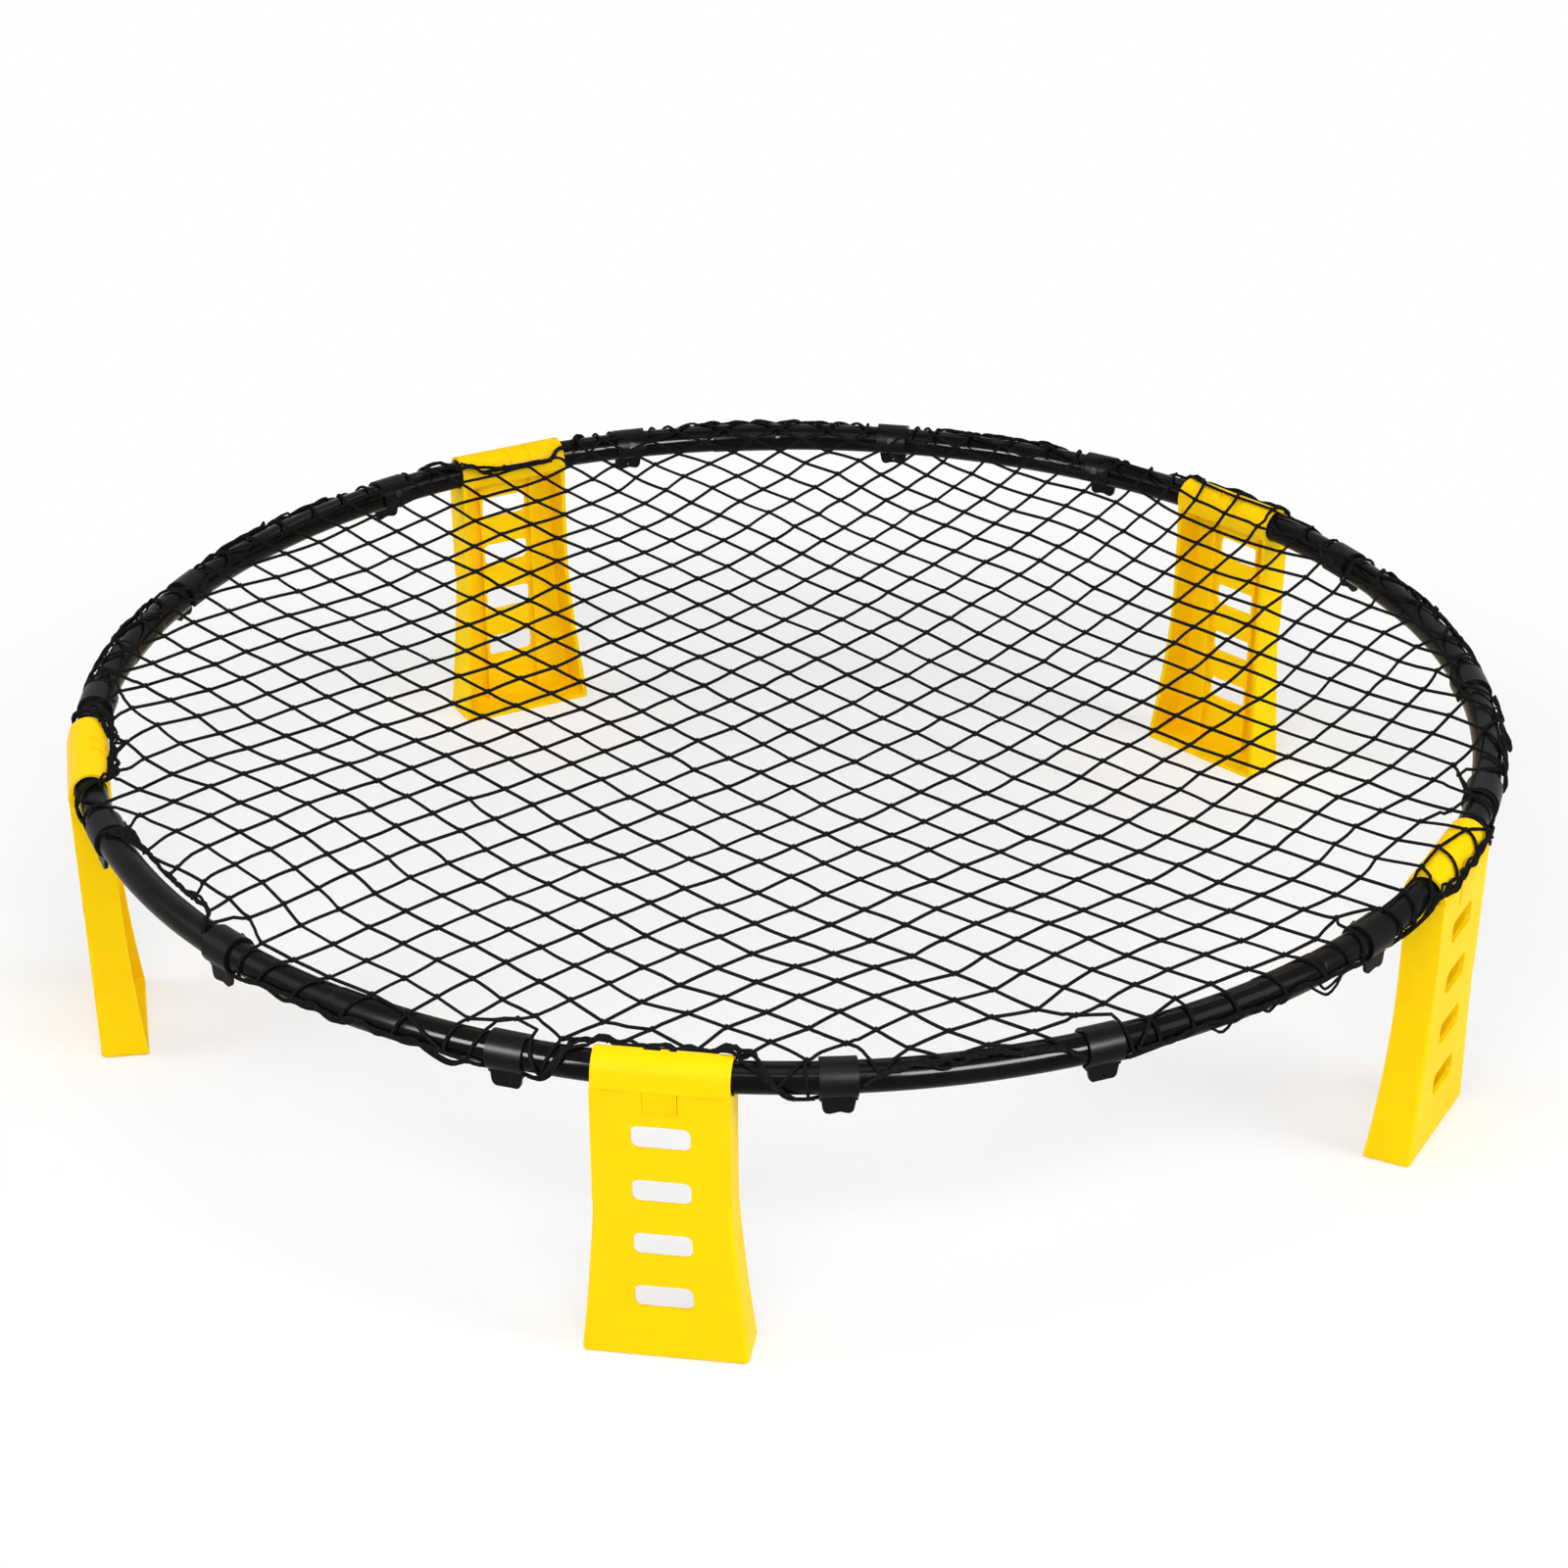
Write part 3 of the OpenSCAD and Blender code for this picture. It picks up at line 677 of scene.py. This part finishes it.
def wrap_radius(deg):
    """Distance of the twine's middle from the tube's axis, round the tube, a hook or a cap."""
    on_cap = flange = 0.0
    for leg, drape in zip(LEG_DEG, CAP_DRAPE):
        off = distance_along(deg, leg)
        on_cap = max(on_cap, 1 - float(smooth_step(off, *CAP_FADE)))
        if drape < 0:
            flange = max(flange, float(smooth_step(off, *FLANGE_RISE) * (1 - smooth_step(off, *FLANGE_FADE))))
    on_hook = max(1 - float(smooth_step(distance_along(deg, a), *SADDLE_FADE)) for a in HOOK_DEG)
    return max(TUBE_R + TWINE_R + TOUCH + SADDLE_RISE * on_hook,
               (SHELL_R + TWINE_R + 0.0003) * on_cap + FLANGE_ROOM * flange)


def beside_hook(deg, reach, past):
    """Moves a point of a strand aside, so that it goes past a hook on the side of its border knot."""
    hook, side, start = past
    off = side * math.radians(wrap_deg(deg - hook)) * RIM_R
    room = float(smooth_step(reach, start, RIM_R - 0.011))
    aside = (max(off, 0) ** 3 + (PAST_HOOK * room) ** 3) ** (1 / 3) + min(off, 0) * (1 - room)
    return hook + math.degrees(side * aside / RIM_R)


def over_rim(deg, reach, lift=0.0, past=None):
    """A point of the net: reach is the distance from the centre along the net and round the tube."""
    if past:
        deg = beside_hook(deg, reach, past)
    ring = wrap_radius(deg) + lift
    drape = drape_at(deg)
    if drape < 0 and reach <= RIM_R:
        # The net meets a cap's inner side and its border turns down along it
        edge = inner_edge(deg, drape)
        over = float(smooth_step(reach, edge - 0.022, edge))
        up = NET_LIFT - SAG * (1 - (reach / RIM_R) ** 2)
        side = math.sqrt(max(ring ** 2 - (reach - RIM_R) ** 2, (ring * math.cos(drape)) ** 2))
        out, up = reach, up + (side - up) * over + lift * (1 - over)
    elif reach <= RIM_R:
        rise = float(smooth_step(reach, RIM_R - 0.045, RIM_R - 0.004))
        flat = NET_LIFT - SAG * (1 - (reach / RIM_R) ** 2)
        out, up = reach, flat + (ring - NET_LIFT) * rise + lift
    else:
        bend = (reach - RIM_R) / WRAP_R
        out, up = RIM_R + ring * math.sin(bend), ring * math.cos(bend)
    turn = math.radians(deg)
    return Vector((out * math.cos(turn), out * math.sin(turn), AXIS_H + up))


def inner_edge(deg, drape):
    """Reach of a border that lies on the inner side of a cap or the tube."""
    return RIM_R - INSET + (wrap_radius(deg) + 0.0003) * math.sin(drape)


def border_reach(deg):
    drape = drape_at(deg)
    return inner_edge(deg, drape) if drape < 0 else RIM_R + drape * WRAP_R


def strand_line(side, straight, before, turn_before, after, turn_after):
    """Places along one strand, counted from the net's marked knot."""
    middles = np.clip(np.arange(-MESHES, MESHES) + 0.5, -LAST_TURN, 2 * LAST_TURN)
    ways = np.radians(straight + turn_before * np.maximum(before - middles, 0)
                      + turn_after * np.maximum(middles - after, 0))
    line = np.concatenate([[[0, 0]], np.cumsum(side * np.stack([np.cos(ways), np.sin(ways)], 1), 0)])
    return line - line[MESHES]


def polar(spot):
    return math.degrees(math.atan2(spot[1], spot[0])), math.hypot(spot[0], spot[1])


def lay_knots():
    """Knots of a taut net over the rim, with the border pulled to the hooks and the rest settled between."""
    first, second = (strand_line(side, **way) for side, way in zip(MESH_SIDE, (FIRST_WAY, SECOND_WAY)))

    def laid(key):
        return np.array(KNOT_AT) + first[key[0] + MESHES] + second[key[1] + MESHES]

    counts = range(1 - MESHES, MESHES)
    inner = {(i, j): laid((i, j)) for i in counts for j in counts if np.hypot(*laid((i, j))) < EVEN_R}
    border = {}
    for i, j in inner:
        for key in ((i + 1, j), (i - 1, j), (i, j + 1), (i, j - 1)):
            if key not in inner:
                border[key] = laid(key)
    pinned = {}
    for key, place in border.items():
        deg = gathered(math.degrees(math.atan2(place[1], place[0])))
        reach = border_reach(deg)
        pinned[key] = reach * np.array([math.cos(math.radians(deg)), math.sin(math.radians(deg))])
    keys = list(inner) + list(border)
    at = {key: n for n, key in enumerate(keys)}
    spots = np.array([inner[k] for k in inner] + [pinned[k] for k in border])
    pairs = np.array([(at[i, j], at[key]) for i, j in keys for key in ((i + 1, j), (i, j + 1))
                      if key in at and ((i, j) in inner or key in inner)])
    slack = PRETENSION * np.array([MESH_SIDE[0] if keys[p][1] == keys[q][1] else MESH_SIDE[1]
                                   for p, q in pairs])
    free, one, two = len(inner), pairs[:, 0], pairs[:, 1]
    count = np.bincount(pairs.ravel(), minlength=len(keys))[:free, None]
    for _ in range(SETTLING):
        between_knots = spots[two] - spots[one]
        pull = between_knots * np.maximum(1 - slack / np.hypot(*between_knots.T), 0)[:, None]
        for axis in (0, 1):
            moved = (np.bincount(one, pull[:, axis], len(keys)) - np.bincount(two, pull[:, axis], len(keys)))
            spots[:free, axis] += 0.9 * moved[:free] / count[:, 0]
    spots[:free] += scatter.normal(0, 0.0007, (free, 2))
    for n in range(free):           # knots stay clear of the hooks
        deg, reach = polar(spots[n])
        if reach > CLEAR_OF_HOOK and min(distance_along(deg, a) for a in HOOKS) < PAST_HOOK:
            spots[n] *= CLEAR_OF_HOOK / reach
    return keys, at, spots, free


def net_point(spot, past=None):
    deg, reach = polar(spot)
    return over_rim(deg, reach, 0.0, past)


def way_past(inside, outside):
    """The hook beside a border knot, the side on which its strand goes past it, and where it starts to."""
    deg = polar(outside)[0]
    hook = min(HOOKS, key=lambda a: abs(wrap_deg(deg - a)))
    start = min(max(np.hypot(*inside), RIM_R - 0.034), RIM_R - 0.014)
    return hook, math.copysign(1, wrap_deg(deg - hook)), start


def twine_curve(name, runs, radius, sides, pitch):
    """Round cords along several runs of points, with U in turns of the twist along each and V round it."""
    data = bpy.data.curves.new(name + "_line", "CURVE")
    data.dimensions, data.bevel_depth, data.bevel_resolution = "3D", radius, (sides - 4) // 2
    data.use_fill_caps = True
    for run in runs:
        spline = data.splines.new("POLY")
        spline.points.add(len(run) - 1)
        for point, place in zip(spline.points, run):
            point.co = (*place, 1)
    holder = bpy.data.objects.new(name + "_line", data)
    bpy.context.scene.collection.objects.link(holder)
    depsgraph = bpy.context.evaluated_depsgraph_get()
    mesh = bpy.data.meshes.new_from_object(holder.evaluated_get(depsgraph),
                                           preserve_all_data_layers=True, depsgraph=depsgraph)
    bpy.data.objects.remove(holder)
    mesh.name = name
    turns = np.concatenate([np.full((len(run) - 1) * sides * 4,
                                    sum((q - p).length for p, q in zip(run, run[1:])) / pitch)
                            for run in runs])
    uv = mesh.uv_layers[0].data
    flat = np.zeros(len(uv) * 2)
    uv.foreach_get("uv", flat)
    scale = np.ones(len(uv))
    quads = [p for p in mesh.polygons if len(p.vertices) == 4]
    corners = np.array([c for p in quads for c in p.loop_indices])
    if len(corners) == len(turns):
        scale[corners] = turns
    flat[0::2] *= scale
    uv.foreach_set("uv", flat)
    obj = bpy.data.objects.new(name, mesh)
    bpy.context.scene.collection.objects.link(obj)
    mesh.polygons.foreach_set("use_smooth", [True] * len(mesh.polygons))
    return obj


def strand_runs(keys, at, spots, free):
    """Unbroken strands through the knots, one row of the net after another."""
    runs = []
    for step in ((1, 0), (0, 1)):
        starts = [k for k in keys if (k[0] - step[0], k[1] - step[1]) not in at
                  or (at[k] >= free and at[k[0] - step[0], k[1] - step[1]] >= free)]
        for key in starts:
            run = []
            while key in at:
                ahead = key[0] + step[0], key[1] + step[1]
                here = spots[at[key]]
                if ahead not in at or (at[key] >= free and at[ahead] >= free):
                    run.append(net_point(here))
                    break
                there = spots[at[ahead]]
                edge = max(np.hypot(*here), np.hypot(*there)) > RIM_R - 0.02
                pieces = 8 if edge else 4
                past = way_past(here, there) if at[ahead] >= free else None
                past = way_past(there, here) if at[key] >= free else past
                bulge = scatter.normal(0, 0.0004)
                aside = np.array([here[1] - there[1], there[0] - here[0]])
                aside /= np.hypot(*aside)
                for n in range(pieces):
                    t = n / pieces
                    spot = here + (there - here) * t + aside * bulge * math.sin(math.pi * t)
                    run.append(net_point(spot, past))
                key = ahead
            if len(run) > 2:
                runs.append(run)
    return runs


def knot_runs(at, spots, free, keys):
    """Each knot is a short turn of twine wound round the place where two strands cross."""
    runs = []
    for key in keys[:free]:
        n = at[key]
        middle = net_point(spots[n])
        ahead = at.get((key[0] + 1, key[1]), at.get((key[0] - 1, key[1])))
        along = (net_point(spots[ahead]) - middle).normalized()
        up = Vector((0, 0, 1))
        across = up.cross(along).normalized()
        turned = scatter.uniform(-0.5, 0.5)
        along, across = (along * math.cos(turned) + across * math.sin(turned),
                         across * math.cos(turned) - along * math.sin(turned))
        run = []
        for k in range(9):
            w = 2 * math.pi * k / 8 * 1.25
            run.append(middle + along * (0.0013 * math.sin(w) + 0.0004 * (k / 4 - 1))
                       + across * 0.0011 * math.cos(w) + up * 0.0007 * math.sin(2 * w + 0.6))
        runs.append(run)
    return runs


def border_run():
    """The cord through the net's border, over the tube between the hooks and behind each hook's tongue."""
    run = []
    for low, high in GAPS:
        length = math.radians(high - low) * RIM_R
        for n in range(5):          # straight behind the tongue
            turn = math.radians(low) + (-0.0105 + 0.0046 * n) / RIM_R
            ring = SOCKET_R + 0.0001 + 0.00115
            out = RIM_R + ring * math.sin(BEHIND_TONGUE)
            up = AXIS_H + ring * math.cos(BEHIND_TONGUE)
            run.append(Vector((out * math.cos(turn), out * math.sin(turn), up)))
        count = int(length / 0.004)
        waves = scatter.uniform(0, 2 * math.pi, 3)
        for n in range(1, count):
            deg = low + (high - low) * (HOOK_SIDE + (length - 2 * HOOK_SIDE) * n / count) / length
            fade = math.sin(math.pi * n / count)
            sway = fade * (0.0011 * math.sin(n * 0.9 + waves[0]) + 0.0016 * math.sin(n * 0.35 + waves[1]))
            if drape_at(deg) < 0.3:     # inside a cap it only sways away from it
                sway = -abs(sway)
            lift = 0.0010 + 0.0006 * fade * math.sin(n * 0.6 + waves[2])
            run.append(over_rim(deg, border_reach(deg) + sway, lift))
    run.append(run[0].copy())
    return run


def calm_at(deg):
    """Twines pulled tight over the outer side of a cap wind less."""
    tight = max(1 - float(smooth_step(distance_along(deg, leg), *CALM_FADE))
                for leg, drape in zip(LEG_DEG, CAP_DRAPE) if drape > 0)
    return 1 - 0.62 * tight


def selvedge_runs():
    """Thin twines that wind along the border cord, with slack loops here and there."""
    runs = []
    for low, high in GAPS:
        length = math.radians(high - low) * RIM_R
        count = int(length / 0.0035)
        loops = [(a, size, 0.010) for a, size in LOOSE if 0 < (a - low) % 360 < high - low]
        loops += [(low + (high - low) * scatter.uniform(0.12, 0.88), scatter.uniform(0.002, 0.005), 0.008)
                  for _ in range(2)]
        if abs(low - INNER_GAP) < 0.1:
            sides = (-1, 1, -0.4, 0.5)
        else:
            sides = (-1, 1) if int(low) in DRAPE_AFTER else (-1, 1, -3.2, 3.0)
        for side in sides:
            phase = scatter.uniform(0, 2 * math.pi, 2)
            run = []
            for n in range(count + 1):
                deg = low + (high - low) * (HOOK_SIDE + (length - 2 * HOOK_SIDE) * n / count) / length
                fade = max(math.sin(math.pi * n / count), 0) ** 0.5
                sway = side * 0.0019 * math.sin(n * 0.5 + phase[0]) + 0.0010 * math.sin(n * 1.1 + phase[1])
                slack = sum(size * math.exp(-(math.radians(wrap_deg(deg - a)) * RIM_R / wide) ** 2)
                            for a, size, wide in loops) * (1 if side > 0 else 0.55)
                away = fade * (sway + slack) * calm_at(deg)
                if drape_at(deg) < 0.3:
                    away = -abs(away) * 0.8
                run.append(over_rim(deg, border_reach(deg) + away, 0.0010 + 0.55 * fade * slack
                                    + 0.0006 * fade * math.cos(n * 0.7 + phase[1])))
            runs.append(run)
    return runs


# ---------------------------------------------------------------- main

set_camera()
add_lamps()
add_world()
add_floor()
for i in range(SECTIONS):
    leg_piece(i)
    cap_piece(i)
    tube_piece(i)
for i in range(len(HOOK_DEG)):
    hook_piece(i)
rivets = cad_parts["hook_rivets"]
rivets.data.materials.clear()
rivets.data.materials.append(RIVET_METAL)

keys, at, spots, free = lay_knots()
strands = twine_curve("net_strands", strand_runs(keys, at, spots, free), TWINE_R, 6, 0.004)
dress(strands, TWINE, "rim", "net", "net")
knots = twine_curve("net_knots", knot_runs(at, spots, free, keys), TWINE_R * 0.95, 6, 0.004)
dress(knots, TWINE, "rim", "net")
border = twine_curve("net_border_cord", [border_run()], BORDER_R, 8, 0.006)
dress(border, CORD, "rim", "net_edge_cord", "net_edge_cord")

selvedge = twine_curve("net_selvedge_twines", selvedge_runs(), SELVEDGE_R, 6, 0.005)
dress(selvedge, CORD, "rim", "net_edge_cord")
